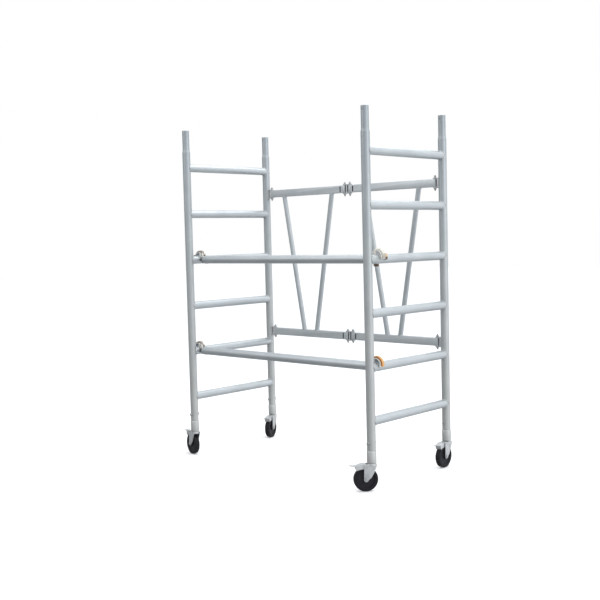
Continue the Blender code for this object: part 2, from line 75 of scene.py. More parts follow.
# The sky that lights the object: its brightest direction, and how bright it is there and opposite.
SKY_SLOPE = (0.45, 0.42, 0.78)
SKY_DARK, SKY_BRIGHT = 0.26, 1.42

# Tubes and rails.
TUBE_WALL = 0.0025
SPIGOT_RADIUS = 0.0224
SHOULDER_LOW, SHOULDER_HIGH = 1.984, 2.008
BOLT_LEVEL = 0.270
LEG_BOLT_SEAT, LEG_BOLT_HEAD = 0.0257, 0.0092
PIN_HOLE_DROP = 0.022
RAIL_WALL = 0.0025
DIAGONAL_RADIUS = 0.0155
DIAGONAL_WALL = 0.0020
WELD_REACH = 0.0121  # half of the rail's face that a diagonal's weld may cover
INSERT_GAP, INSERT_REACH = 0.0004, 0.042
HINGE_THREAD, HINGE_END = 0.0050, 0.0036

# Painted light on the legs: warmer and paler low down, standing in for warm light from below, and bluer and
# darker near the top, standing in for bluish light from above.
LEG_PAINTED_LIGHT = [
    (0.0, (1.0, 0.95, 0.895)),
    (0.35, (0.96, 0.93, 0.90)),
    (0.75, (0.86, 0.87, 0.87)),
    (1.0, (0.70, 0.72, 0.74)),
]

# Brace hooks, in the plane across the rung: outwards and upwards from the rung's axis.
CLAW_HALF = 0.0160
CLAW_INNER, CLAW_OUTER = 0.0260, 0.0366
LEVER_HALF = 0.0090
CROWN_CENTRE = (-0.0020, 0.0125)
LEVER_INNER, LEVER_OUTER = 0.0375, 0.0475
POCKET_RIM, POCKET_DEPTH = 0.0030, 0.0014
COLLAR_RADIUS = 0.0251

# Castors.
TRAIL = 0.036
WHEEL_RADIUS = 0.0690
WHEEL_HALF = 0.0160
HUB_HALF = 0.0195
LEG_INNER, LEG_OUTER = 0.0205, 0.0235
LEG_FOOT_RADIUS = 0.0134
CROWN_BOTTOM = 0.1405
PEDAL_PIVOT = (0.044, 0.1490)
PEDAL_HALF = 0.0170
SKIRT_INNER, SKIRT_OUTER = 0.0166, 0.0192

SHARP = math.radians(34)
BEVELLED = math.radians(38)
BEAD_STEPS = 5  # points along each ripple of a weld bead
ALONG_X = Matrix.Rotation(math.pi / 2, 4, "Y")
ALONG_Y = Matrix.Rotation(-math.pi / 2, 4, "X")
FLIPPED = Matrix.Rotation(math.pi, 4, "X")


# ---------------------------------------------------------------- materials


class Shader:
    """A material's node tree, with short ways to add and join nodes."""

    def __init__(self, name):
        self.material = bpy.data.materials.new(name)
        self.material.use_nodes = True
        self.tree = self.material.node_tree
        self.surface = self.tree.nodes["Principled BSDF"]
        self.coordinates = self.local_coordinates()

    def add(self, kind, values=None, **settings):
        node = self.tree.nodes.new(kind)
        for key, value in settings.items():
            setattr(node, key, value)
        for key, value in (values or {}).items():
            if isinstance(value, bpy.types.NodeSocket):
                self.tree.links.new(value, node.inputs[key])
            else:
                node.inputs[key].default_value = value
        return node

    def join(self, output, key):
        self.tree.links.new(output, self.surface.inputs[key])

    def local_coordinates(self):
        """The piece's own coordinates, moved along for each piece so that no two look alike."""
        place = self.add("ShaderNodeTexCoord").outputs["Object"]
        chance = self.add("ShaderNodeObjectInfo").outputs["Random"]
        shift = self.add("ShaderNodeVectorMath", {0: chance, 1: (3.1, 2.3, 5.7)}, operation="MULTIPLY")
        moved = self.add("ShaderNodeVectorMath", {0: place, 1: shift.outputs[0]}, operation="ADD")
        return moved.outputs[0]

    def noise(self, scale, detail=3.0, roughness=0.5):
        """Noise whose grain is scale times per metre, all round or along X, Y and Z."""
        if isinstance(scale, float):
            scale = (scale, scale, scale)
        across = self.add("ShaderNodeMapping", {"Vector": self.coordinates, "Scale": scale})
        values = {"Vector": across.outputs[0], "Scale": 1.0, "Detail": detail, "Roughness": roughness}
        return self.add("ShaderNodeTexNoise", values).outputs["Fac"]

    def ramp(self, value, stops):
        """Colours or greys by position, each stop a pair."""
        node = self.add("ShaderNodeValToRGB", {"Fac": value})
        ramp = node.color_ramp
        while len(ramp.elements) < len(stops):
            ramp.elements.new(0.5)
        for element, (position, colour) in zip(ramp.elements, stops):
            element.position = position
            if isinstance(colour, float):
                colour = (colour, colour, colour)
            element.color = (*colour, 1.0)
        return node.outputs["Color"]

    def by_height(self, stops):
        """Colours by the height over the floor of a piece whose own origin is on the floor."""
        place = self.add("ShaderNodeTexCoord").outputs["Object"]
        height = self.add("ShaderNodeSeparateXYZ", {0: place}).outputs["Z"]
        share = self.add("ShaderNodeMapRange", {"Value": height, "From Max": CAD_BOX[1][2]})
        return self.ramp(share.outputs["Result"], stops)

    def blend(self, factor, first, second, mode="MIX"):
        values = {"Factor": factor, "A": first, "B": second}
        node = self.add("ShaderNodeMix", data_type="RGBA", blend_type=mode)
        for key, value in values.items():
            socket = [s for s in node.inputs if s.name == key and s.enabled][0]
            if isinstance(value, bpy.types.NodeSocket):
                self.tree.links.new(value, socket)
            else:
                socket.default_value = value
        return [s for s in node.outputs if s.enabled][0]

    def bump(self, height, strength, distance):
        values = {"Height": height, "Strength": strength, "Distance": distance}
        self.join(self.add("ShaderNodeBump", values).outputs["Normal"], "Normal")

    def constants(self, **values):
        for key, value in values.items():
            self.surface.inputs[key.replace("_", " ")].default_value = value


def drawn_aluminium(name, grain, painted_height_light=False, paler=0.0):
    """Mill-finish extrusion: drawing lines along the grain, soft clouding and handling marks."""
    shader = Shader(name)
    lines = shader.noise([6.0 if axis == grain else 420.0 for axis in "XYZ"], 4.0, 0.65)
    fine = shader.noise([22.0 if axis == grain else 2400.0 for axis in "XYZ"], 2.0, 0.5)
    clouds = shader.noise(7.0, 5.0, 0.6)
    tones = [(0.25, (0.50, 0.535, 0.555)), (0.55, (0.55, 0.585, 0.605)), (0.8, (0.60, 0.63, 0.645))]
    tones = [(position, [channel + paler for channel in tone]) for position, tone in tones]
    streaks = shader.ramp(lines, [(0.3, 0.88), (0.62, 1.0)])
    colour = shader.blend(1.0, shader.ramp(clouds, tones), streaks, "MULTIPLY")
    # Painted light by height: warm and pale low down, bluer and darker near the top.
    if painted_height_light:
        colour = shader.blend(1.0, colour, shader.by_height(LEG_PAINTED_LIGHT), "MULTIPLY")
    shader.join(colour, "Base Color")
    marks = shader.noise(38.0, 6.0, 0.7)
    polished = shader.ramp(marks, [(0.35, 0.36), (0.7, 0.52)])
    dull = shader.ramp(lines, [(0.3, 0.38), (0.7, 0.50)])
    shader.join(shader.blend(0.5, polished, dull), "Roughness")
    shader.bump(fine, 0.06, 0.0002)
    shader.constants(Metallic=0.92, Specular_IOR_Level=0.5)
    return shader.material


def weld_metal():
    """The bright, slightly sooty bead of an aluminium weld."""
    shader = Shader("weld_bead")
    soot = shader.noise(160.0, 4.0, 0.6)
    shader.join(shader.ramp(soot, [(0.3, (0.42, 0.42, 0.42)), (0.6, (0.66, 0.67, 0.68))]), "Base Color")
    shader.join(shader.ramp(soot, [(0.3, 0.5), (0.7, 0.3)]), "Roughness")
    shader.bump(shader.noise(900.0), 0.2, 0.0004)
    shader.constants(Metallic=0.9)
    return shader.material


def zinc_plate(name, low, high, metallic=0.88):
    """Zinc-plated pressed steel, with a faint spangle and duller patches."""
    shader = Shader(name)
    cells = shader.add("ShaderNodeTexVoronoi", {"Vector": shader.coordinates, "Scale": 210.0})
    patches = shader.noise(28.0, 5.0, 0.6)
    spangle = shader.ramp(cells.outputs["Distance"], [(0.0, 0.9), (0.7, 1.0)])
    body = shader.ramp(patches, [(0.3, low), (0.7, high)])
    shader.join(shader.blend(1.0, body, spangle, "MULTIPLY"), "Base Color")
    shader.join(shader.ramp(patches, [(0.3, 0.46), (0.7, 0.28)]), "Roughness")
    shader.bump(shader.noise(700.0, 3.0), 0.12, 0.0003)
    shader.constants(Metallic=metallic)
    return shader.material


def cast_metal():
    """Sand-textured aluminium casting, rubbed brighter in patches."""
    shader = Shader("cast_aluminium")
    grain = shader.noise(1300.0, 4.0, 0.6)
    rubbed_and_highlight = shader.noise(45.0, 5.0, 0.6)
    shader.join(shader.ramp(rubbed_and_highlight, [(0.3, (0.66, 0.64, 0.59)), (0.7, (0.84, 0.82, 0.76))]), "Base Color")
    shader.join(shader.ramp(grain, [(0.3, 0.62), (0.7, 0.44)]), "Roughness")
    shader.bump(grain, 0.35, 0.0004)
    shader.constants(Metallic=0.45)
    return shader.material


def orange_paint(name, dark, light):
    """Satin orange coating with rubbed, paler wear and fine orange peel."""
    shader = Shader(name)
    wear = shader.noise(95.0, 6.0, 0.7)
    tone = shader.noise(30.0, 3.0)
    body = shader.ramp(tone, [(0.3, dark), (0.7, light)])
    worn = shader.ramp(wear, [(0.60, 0.0), (0.74, 1.0)])
    shader.join(shader.blend(worn, body, (0.72, 0.46, 0.22, 1.0)), "Base Color")
    shader.join(shader.ramp(wear, [(0.3, 0.36), (0.75, 0.54)]), "Roughness")
    shader.bump(shader.noise(620.0), 0.15, 0.0003)
    shader.constants(Metallic=0.0, Specular_IOR_Level=0.5)
    return shader.material


def dark_brown_and_shadow():
    """Dark brown: painted shadow on the lower part of a lever's finger tab, and the dark brown foot of a
    hook's tongue under the rung.
    """
    shader = Shader("lever_brown_and_shadow")
    grime = shader.noise(140.0, 5.0, 0.6)
    brown = shader.ramp(grime, [(0.3, (0.055, 0.034, 0.020)), (0.7, (0.135, 0.085, 0.045))])
    shader.join(brown, "Base Color")
    shader.join(shader.ramp(grime, [(0.3, 0.55), (0.7, 0.36)]), "Roughness")
    shader.bump(grime, 0.2, 0.0003)
    shader.constants(Metallic=0.25)
    return shader.material


def moulded_black(name, tones, roughness, grain):
    """Black rubber or nylon with a fine moulded grain and dusty patches."""
    shader = Shader(name)
    dust = shader.noise(48.0, 6.0, 0.65)
    skin = shader.noise(grain, 3.0, 0.6)
    shader.join(shader.ramp(dust, [(0.35, tones[0]), (0.75, tones[1])]), "Base Color")
    shader.join(shader.ramp(dust, [(0.3, roughness[0]), (0.7, roughness[1])]), "Roughness")
    shader.bump(skin, 0.25, 0.0004)
    shader.constants(Metallic=0.0, Specular_IOR_Level=0.22)
    return shader.material


def pale_floor():
    """The studio's pale floor, faintly mottled."""
    shader = Shader("studio_floor")
    tone = shader.noise(1.6, 4.0, 0.5)
    shader.join(shader.ramp(tone, [(0.3, (0.865, 0.867, 0.870)), (0.7, (0.885, 0.885, 0.885))]), "Base Color")
    shader.join(shader.ramp(tone, [(0.3, 0.62), (0.7, 0.70)]), "Roughness")
    shader.bump(shader.noise(300.0), 0.03, 0.0005)
    shader.constants(Emission_Color=(1.0, 1.0, 1.0, 1.0), Emission_Strength=0.14)
    return shader.material


RUBBER_TONES = ((0.006, 0.0055, 0.008), (0.014, 0.013, 0.017))
NYLON_TONES = ((0.008, 0.0075, 0.010), (0.018, 0.017, 0.021))

# Each look's material, and the record's slot that it belongs to.
LOOKS = {
    "leg": (drawn_aluminium("drawn_leg", "Z", painted_height_light=True), "aluminium"),
    "tube": (drawn_aluminium("drawn_tube", "Z"), "aluminium"),
    "bar": (drawn_aluminium("drawn_bar", "X", paler=0.06), "aluminium"),
    "stay": (drawn_aluminium("drawn_stay", "Z", paler=-0.05), "aluminium"),
    "weld": (weld_metal(), "aluminium"),
    "zinc": (zinc_plate("zinc_plate", (0.47, 0.48, 0.49), (0.66, 0.67, 0.68)), "zinc"),
    "fastener": (zinc_plate("zinc_fastener", (0.36, 0.37, 0.38), (0.56, 0.57, 0.58)), "zinc"),
    "cast": (cast_metal(), "cast"),
    "orange": (orange_paint("orange_lever", (0.62, 0.32, 0.11), (0.76, 0.44, 0.18)), "orange"),
    # Painted shade: darker orange on the side faces of the lower right lever.
    "shaded_orange": (orange_paint("orange_lever_side_shade", (0.30, 0.115, 0.028), (0.40, 0.17, 0.045)), "orange"),
    # Painted shade: darker bluish grey in the claw's side pockets and on its lower outer end, milder on the
    # upper right hook.
    "pocket": (zinc_plate("pocket_painted_shade", (0.20, 0.25, 0.30), (0.36, 0.42, 0.48)), "cast"),
    "pale_pocket": (zinc_plate("pale_pocket_painted_shade", (0.50, 0.52, 0.54), (0.66, 0.68, 0.70)), "cast"),
    # Painted shadow: dark grey on the casting between the rung and the tube's end.
    "shaded": (zinc_plate("grimy_casting", (0.10, 0.095, 0.09), (0.25, 0.24, 0.235)), "cast"),
    # Painted highlight: paler tan paint on the upper part of the upper right lever's finger tab.
    "rubbed_and_highlight": (zinc_plate("tab_highlight_paint", (0.52, 0.36, 0.20), (0.72, 0.53, 0.32), 0.1), "orange"),
    "worn": (zinc_plate("worn_lever", (0.27, 0.235, 0.21), (0.50, 0.455, 0.42)), "orange"),
    # Dark brown: painted shadow on the lower part of the levers' finger tabs, and the tongue's foot under the
    # rung.
    "brown_and_shadow": (dark_brown_and_shadow(), "orange"),
    "tyre": (moulded_black("tyre", RUBBER_TONES, (0.50, 0.68), 900.0), "black_wheel"),
    "nylon": (moulded_black("nylon", NYLON_TONES, (0.44, 0.6), 500.0), "black_wheel"),
}


# ---------------------------------------------------------------- shapes


def turning(count):
    """Angles evenly round a circle."""
    return [2 * math.pi * i / count for i in range(count)]


def lathe(profile, segments=56, ring=False):
    """Turns (radius, z) points about Z. A ring closes on itself; a shaft gets flat ends."""
    build = bmesh.new()
    loops = []
    for radius, z in profile:
        points = [(radius * math.cos(angle), radius * math.sin(angle), z) for angle in turning(segments)]
        loops.append([build.verts.new(point) for point in points])
    skin(build, loops, ring)
    return build


def skin(build, loops, ring):
    """Faces between closed loops of the same length, and over the ends unless they form a ring."""
    pairs = list(zip(loops, loops[1:] + loops[:1])) if ring else list(zip(loops, loops[1:]))
    count = len(loops[0])
    for low, high in pairs:
        for i in range(count):
            j = (i + 1) % count
            build.faces.new((low[i], low[j], high[j], high[i]))
    if not ring:
        build.faces.new(loops[0])
        build.faces.new(loops[-1])
    bmesh.ops.recalc_face_normals(build, faces=build.faces)


def prism(outline, low, high, axis="Z", bevel=0.0, segments=2):
    """Extrudes an outline between two levels of an axis, and rounds its sharp edges."""
    build = bmesh.new()
    loops = []
    for level in (low, high):
        if axis == "Z":
            points = [(a, b, level) for a, b in outline]
        elif axis == "Y":
            points = [(a, level, b) for a, b in outline]
        else:
            points = [(level, a, b) for a, b in outline]
        loops.append([build.verts.new(point) for point in points])
    skin(build, loops, False)
    return rounded(build, bevel, segments)


def rounded(build, width, segments):
    """Bevels the edges that are sharp enough."""
    if width:
        edges = [edge for edge in build.edges if edge.calc_face_angle(0.0) > BEVELLED]
        options = {"segments": segments, "profile": 0.5, "affect": "EDGES", "clamp_overlap": True}
        bmesh.ops.bevel(build, geom=edges, offset=width, **options)
    return build


def block(low, high, bevel=0.0, segments=2):
    """A box between two corners, with rounded edges."""
    outline = [(low[0], low[1]), (high[0], low[1]), (high[0], high[1]), (low[0], high[1])]
    return prism(outline, low[2], high[2], bevel=bevel, segments=segments)


def arc(centre, radius, start, end, steps):
    """Points along an arc, from one angle in degrees to another."""
    points = []
    for i in range(steps + 1):
        angle = math.radians(start + (end - start) * i / steps)
        points.append((centre[0] + radius * math.cos(angle), centre[1] + radius * math.sin(angle)))
    return points


def stadium(first, second, radius):
    """An outline along X with a half circle round each end."""
    return arc((first, 0), radius, 90, 270, 14) + arc((second, 0), radius, -90, 90, 14)


def flowing(points, steps=6):
    """A smooth path through points, sampled between each pair."""
    path = []
    last = len(points) - 1
    for i in range(last):
        a, b, c, d = (points[max(0, min(last, i + k))] for k in (-1, 0, 1, 2))
        for step in range(steps):
            t = step / steps
            weights = (
                -0.5 * t + t**2 - 0.5 * t**3,
                1 - 2.5 * t**2 + 1.5 * t**3,
                0.5 * t + 2 * t**2 - 1.5 * t**3,
                -0.5 * t**2 + 0.5 * t**3,
            )
            path.append(tuple(sum(w * p[k] for w, p in zip(weights, (a, b, c, d))) for k in range(len(a))))
    return path + [tuple(points[last])]


def swept(path, radii, sides=10, closed=False):
    """A round bead or wire along a path, with its own radius at each point."""
    build = bmesh.new()
    points = [Vector(point) for point in path]
    count = len(points)
    loops = []
    side = None
    for i, point in enumerate(points):
        ahead = points[(i + 1) % count] if closed or i + 1 < count else point
        behind = points[i - 1] if closed or i else point
        tangent = (ahead - behind).normalized()
        if side is None:
            side = tangent.orthogonal().normalized()
        side = (side - tangent * side.dot(tangent)).normalized()
        other = tangent.cross(side)
        loop = []
        for angle in turning(sides):
            outwards = side * math.cos(angle) + other * math.sin(angle)
            loop.append(build.verts.new(point + radii[i] * outwards))
        loops.append(loop)
    if closed:
        twist = best_match(loops[0], loops[-1])
        loops.append(loops[0][twist:] + loops[0][:twist])
        for low, high in zip(loops, loops[1:]):
            for k in range(sides):
                build.faces.new((low[k], low[(k + 1) % sides], high[(k + 1) % sides], high[k]))
        bmesh.ops.recalc_face_normals(build, faces=build.faces)
    else:
        skin(build, loops, False)
    return build


def best_match(first, last):
    """How far to turn the first loop so that its points line up with the last one's."""
    count = len(first)

    def distance(turn):
        return sum((first[(i + turn) % count].co - last[i].co).length for i in range(count))

    return min(range(count), key=distance)


def bead(path, radius, pitch=0.0034):
    """A weld bead round a closed path: overlapping ripples, each a pitch long."""
    points = [Vector(point) for point in path]
    run = [0.0]
    for i in range(1, len(points) + 1):
        run.append(run[-1] + (points[i % len(points)] - points[i - 1]).length)
    steps = max(8, round(run[-1] / pitch)) * BEAD_STEPS
    fine = []
    radii = []
    stretch = 0
    for step in range(steps):
        along = run[-1] * step / steps
        while run[stretch + 1] < along:
            stretch += 1
        share = (along - run[stretch]) / max(run[stretch + 1] - run[stretch], 1e-9)
        fine.append(points[stretch].lerp(points[(stretch + 1) % len(points)], share))
        phase = (step % BEAD_STEPS) / BEAD_STEPS
        wander = 0.05 * math.sin(step * 0.131) + 0.04 * math.sin(step * 0.047 + 1.0)
        radii.append(radius * (0.86 + 0.16 * math.sin(math.pi * phase) + wander))
    return swept(fine, radii, 8, closed=True)


def thread(radius, low, high, pitch=0.0012):
    """A shaft's profile with thread crests between two levels."""
    points = [(radius * 0.86, low)]
    turns = max(1, int((high - low) / pitch))
    for i in range(turns):
        z = low + (high - low) * (i + 0.25) / turns
        points.append((radius, z))
        points.append((radius * 0.90, z + 0.5 * (high - low) / turns))
    return points + [(radius * 0.86, high)]


# ---------------------------------------------------------------- pieces


def mesh_from(name, build):
    """A mesh from a bmesh, which is freed."""
    mesh = bpy.data.meshes.new(name)
    build.to_mesh(mesh)
    build.free()
    return mesh


def linked(name, data):
    """A new object in the scene."""
    made = bpy.data.objects.new(name, data)
    bpy.context.scene.collection.objects.link(made)
    return made


def smooth(mesh):
    """Smooth shading, with sharp edges kept sharp."""
    mesh.shade_smooth()
    mesh.set_sharp_from_angle(angle=SHARP)


def drop(item):
    """Removes a helper object and its mesh."""
    mesh = item.data
    bpy.data.objects.remove(item, do_unlink=True)
    bpy.data.meshes.remove(mesh)


def shaped(name, build, joined=(), cut=(), meet=()):
    """A mesh made by uniting, cutting and intersecting bmeshes, all in one frame."""
    base = linked(name, mesh_from(name, build))
    helpers = []
    for operation, others in (("INTERSECT", meet), ("UNION", joined), ("DIFFERENCE", cut)):
        for other in others:
            helper = linked(name + "_helper", mesh_from(name + "_helper", other))
            helpers.append(helper)
            step = base.modifiers.new(operation, "BOOLEAN")
            step.operation = operation
            step.object = helper
    graph = bpy.context.evaluated_depsgraph_get()
    mesh = bpy.data.meshes.new_from_object(base.evaluated_get(graph))
    for item in (base, *helpers):
        drop(item)
    mesh.name = name
    return mesh


def hex_mesh(name, radius, height):
    """A hexagon nut or bolt head with its corners turned down at both faces."""
    outline = arc((0, 0), radius, 0, 300, 5)
    small, wide, chamfer = radius * 0.80, radius * 1.02, 0.0012
    turned = lathe([(small, 0), (wide, chamfer), (wide, height - chamfer), (small, height)], 30)
    return shaped(name, prism(outline, 0, height), meet=[turned])


def piece(name, mesh, look, body, place, stands_for=()):
    """A finished piece: a mesh (shared between repeats) in its place, on its body, with its look."""
    material, slot = LOOKS[look]
    if not mesh.materials:
        mesh.materials.append(material)
        smooth(mesh)
    made = linked(name, mesh)
    made.matrix_world = place
    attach(made, body)
    if stands_for:
        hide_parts(*stands_for)
    return made


def squared_piece(name, mesh, look, body, place, stands_for):
    """A piece with its place's turn worked into a mesh of its own, so that its box fits closely."""
    own = mesh.copy()
    own.transform(place.to_3x3().to_4x4())
    piece(name, own, look, body, Matrix.Translation(place.translation), stands_for)


def bore(radius, half, segments, place=None):
    """A cutter for a round hole along Z, or along what its place turns Z to."""
    cutter = lathe([(radius, -half), (radius, half)], segments)
    if place:
        cutter.transform(place)
    return cutter


def half_turn(turned, axis="Z"):
    return Matrix.Rotation(math.pi if turned else 0.0, 4, axis)


def at(x, y, z):
    return Matrix.Translation((x, y, z))


def middle(node):
    low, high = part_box(node)
    return (low + high) / 2


def joint_place(name):
    return Vector(JOINTS[name]["pos_m"])


# ---------------------------------------------------------------- ladder frames


def upright_mesh():
    """Leg tube, swaged in to its spigot, with a bolt hole below and a pin hole above."""
    low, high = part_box("right_front_upright")
    radius = (high.y - low.y) / 2
    inner = radius - TUBE_WALL
    mouth = SPIGOT_RADIUS - TUBE_WALL
    swage = []
    for i in range(9):
        share = i / 8
        ease = (1 - math.cos(math.pi * share)) / 2
        level = SHOULDER_LOW + (SHOULDER_HIGH - SHOULDER_LOW) * share
        swage.append((radius + (SPIGOT_RADIUS - radius) * ease, level))
    profile = [(radius - 0.0007, low.z), (radius, low.z + 0.0007), *swage]
    profile += [(SPIGOT_RADIUS, high.z - 0.0010), (SPIGOT_RADIUS - 0.0008, high.z), (mouth + 0.0003, high.z)]
    profile += [(mouth, high.z - 0.0006), (mouth, SHOULDER_HIGH), (inner, SHOULDER_LOW), (inner, low.z)]
    holes = (BOLT_LEVEL, high.z - PIN_HOLE_DROP)
    cuts = [bore(0.0055, 0.04, 24, at(0, 0, level) @ ALONG_Y) for level in holes]
    return shaped("upright_tube", lathe(profile, 72, ring=True), cut=cuts)


def saddle_end(half, reach, x):
    """How far out a rung's end lies where it meets the upright, x away from the upright's axis."""
    return half - math.sqrt(max(reach**2 - x**2, 0.0))


def rung_meshes(half, radius):
    """A rung along Z whose ends are cut to sit round the uprights, and the bead that welds one end."""
    reach = radius + 0.0006
    build = bmesh.new()
    loops = []
    for size, side in ((radius, -1), (radius, 1), (radius - TUBE_WALL, 1), (radius - TUBE_WALL, -1)):
        loop = []
        for angle in turning(64):
            x = size * math.cos(angle)
            loop.append(build.verts.new((x, size * math.sin(angle), side * saddle_end(half, reach, x))))
        loops.append(loop)
    skin(build, loops, True)
    out = radius + 0.0007
    path = []
    for angle in turning(120):
        z = saddle_end(half, reach, radius * math.cos(angle)) - 0.0012
        path.append((out * math.cos(angle), out * math.sin(angle), z))
    return mesh_from("rung_tube", build), mesh_from("rung_weld", bead(path, 0.0027))


def ladder_frames():
    tube = upright_mesh()
    right_low, right_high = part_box("right_front_upright")
    radius = (right_high.y - right_low.y) / 2
    depth = middle("right_rear_upright").y - middle("right_front_upright").y
    rung_tube, rung_weld = rung_meshes(depth / 2, radius)
    for side in ("right", "left"):
        body = f"{side}_frame"
        for end in ("front", "rear"):
            node = f"{side}_{end}_upright"
            centre = middle(node)
            place = at(centre.x, centre.y, 0) @ half_turn(end == "rear")
            piece(node + "_tube", tube, "leg", body, place, [node])
        for number in range(1, 7):
            node = f"{side}_rung_{number}"
            centre = middle(node)
            place = at(*centre) @ ALONG_Y
            piece(node + "_tube", rung_tube, "tube", body, place, [node])
            piece(node + "_rear_weld", rung_weld, "weld", body, place)
            piece(node + "_front_weld", rung_weld, "weld", body, place @ FLIPPED)


# ---------------------------------------------------------------- gate


def rail_mesh(length):
    """Rectangular rail along X from its left-hand pin: rounded corners, round hinge ends, open bore."""
    low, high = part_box("right_gate_upper_rail")
    half = (high.z - low.z) / 2
    radius = (high.y - low.y) / 2
    outer = prism(stadium(0, length, radius), -half, half, bevel=0.0024, segments=3)
    room = (radius - RAIL_WALL, half - RAIL_WALL)
    hollow = block((-0.05, -room[0], -room[1]), (length + 0.05, room[0], room[1]), 0.0012, 2)
    return outer, [hollow, *(bore(0.0053, 0.05, 24, at(x, 0, 0)) for x in (0, length))], room


def link_pins():
    """The axes of the two middle pins, at the round ends of the link's plates."""
    low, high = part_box("upper_gate_link")
    reach = (high.y - low.y) / 2
    y = (low.y + high.y) / 2
    return {"right": Vector((high.x - reach, y, 0)), "left": Vector((low.x + reach, y, 0))}


def gate_rails():
    """The four rails. Each has a dark insert that shows through the slots next to its middle pin."""
    middle_pin = link_pins()
    length = middle("right_upper_gate_pin").x - middle_pin["right"].x
    outer, cuts, room = rail_mesh(length)
    slot_low, slot_high = 0.0270, 0.0365
    cuts.append(block((slot_low, -0.05, -0.0185), (slot_high, 0.05, 0.0185), 0.0015))
    rail = shaped("gate_rail", outer, cut=cuts)
    wide, tall = (size - INSERT_GAP for size in room)
    outline = arc((0, 0), wide, 90, 270, 12) + [(INSERT_REACH, -wide), (INSERT_REACH, wide)]
    filling = prism(outline, -tall, tall, bevel=0.0006)
    insert = shaped("rail_insert", filling, cut=[bore(0.0052, 0.05, 20)])
    for side in ("right", "left"):
        pin = middle_pin[side]
        for level in ("lower", "upper"):
            node = f"{side}_gate_{level}_rail"
            place = at(pin.x, pin.y, middle(node).z) @ half_turn(side == "left")
            piece(node + "_bar", rail, "bar", f"{side}_gate", place, [node])
            piece(node + "_insert", insert, "nylon", f"{side}_gate", place)


def gate_diagonals():
    """The V of round tubes in each half, with a weld bead at both ends."""
    for side in ("right", "left"):
        for which in ("outer", "inner"):
            node = f"{side}_gate_{which}_diagonal"
            low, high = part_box(node)
            outwards = 1 if (side == "right") == (which == "outer") else -1
            lean = math.atan2(outwards * (high.x - low.x - 2 * DIAGONAL_RADIUS), high.z - low.z)
            wide = DIAGONAL_RADIUS / math.cos(lean)
            foot_x, top_x = low.x + wide, high.x - wide
            if outwards < 0:
                foot_x, top_x = high.x - wide, low.x + wide
            diagonal(node, side, (foot_x, top_x), (low.z, high.z), (low.y + high.y) / 2, wide)


def diagonal(node, side, ends_x, ends_z, y, wide):
    """A round tube with its ends cut level and welded round. wide: half its width at the cuts."""
    centre = Vector(((ends_x[0] + ends_x[1]) / 2, y, (ends_z[0] + ends_z[1]) / 2))
    lean = math.atan2(ends_x[1] - ends_x[0], ends_z[1] - ends_z[0])
    place = at(*centre) @ Matrix.Rotation(lean, 4, "Y")
    build = bmesh.new()
    loops = []
    half = (ends_z[1] - ends_z[0]) / 2
    inner = DIAGONAL_RADIUS - DIAGONAL_WALL
    for size, end in ((DIAGONAL_RADIUS, -1), (DIAGONAL_RADIUS, 1), (inner, 1), (inner, -1)):
        loop = []
        for angle in turning(48):
            x = size * math.cos(angle)
            z = (end * half + x * math.sin(lean)) / math.cos(lean)
            loop.append(build.verts.new((x, size * math.sin(angle), z)))
        loops.append(loop)
    skin(build, loops, True)
    body = f"{side}_gate"
    piece(node + "_tube", mesh_from(node + "_tube", build), "stay", body, place, [node])
    for label, x, z, inwards in (("foot", ends_x[0], ends_z[0], 1), ("top", ends_x[1], ends_z[1], -1)):
        path = []
        for angle in turning(72):
            across = (DIAGONAL_RADIUS + 0.0006) * math.sin(angle)
            across = max(-WELD_REACH, min(WELD_REACH, across))
            path.append(((wide + 0.0006) * math.cos(angle), across, 0.0008 * inwards))
        weld = mesh_from(f"{node}_{label}_weld", bead(path, 0.0021, 0.0030))
        piece(f"{node}_{label}_weld", weld, "weld", body, at(x, y, z))


def bolt_meshes():
    """A hinge bolt's nut and its washer, about Z."""
    nut = hex_mesh("hex_nut", 0.0088, 0.0068)
    ring = [(0.0052, 0), (0.0092, 0), (0.0094, 0.0002), (0.0094, 0.0010), (0.0090, 0.0012), (0.0052, 0.0012)]
    return nut, mesh_from("washer", lathe(ring, 32, ring=True))


def shaft_mesh(half, seat):
    """A bolt threaded at both ends beyond its seats."""
    point = 0.0012
    low_end = [(HINGE_END, -half), *thread(HINGE_THREAD, -half + point, -seat)]
    top_end = [*thread(HINGE_THREAD, seat, half - point), (HINGE_END, half)]
    return mesh_from("hinge_shaft", lathe(low_end + top_end, 28))


def bracket_mesh(inwards, ear_low, ear_high, pin_offset):
    """Two rounded ears on a back plate that is shaped to the upright."""
    half = 0.0140
    back, front = 0.0134, 0.0340
    round_end = arc((pin_offset, 0), half, -90, 90, 16)
    ear = [(inwards * a, b) for a, b in round_end + [(back, half), (back, -half)]]
    plate = [(inwards * a, b) for a, b in ((back, -half), (front, -half), (front, half), (back, half))]
    joined = [prism(ear, ear_low, ear_high, bevel=0.0008), prism(ear, -ear_high, -ear_low, bevel=0.0008)]
    cuts = [bore(0.0256, 0.06, 72), bore(0.0052, 0.06, 24, at(inwards * pin_offset, 0, 0))]
    return shaped("gate_bracket", prism(plate, -ear_high, ear_high, bevel=0.0008), joined, cuts)


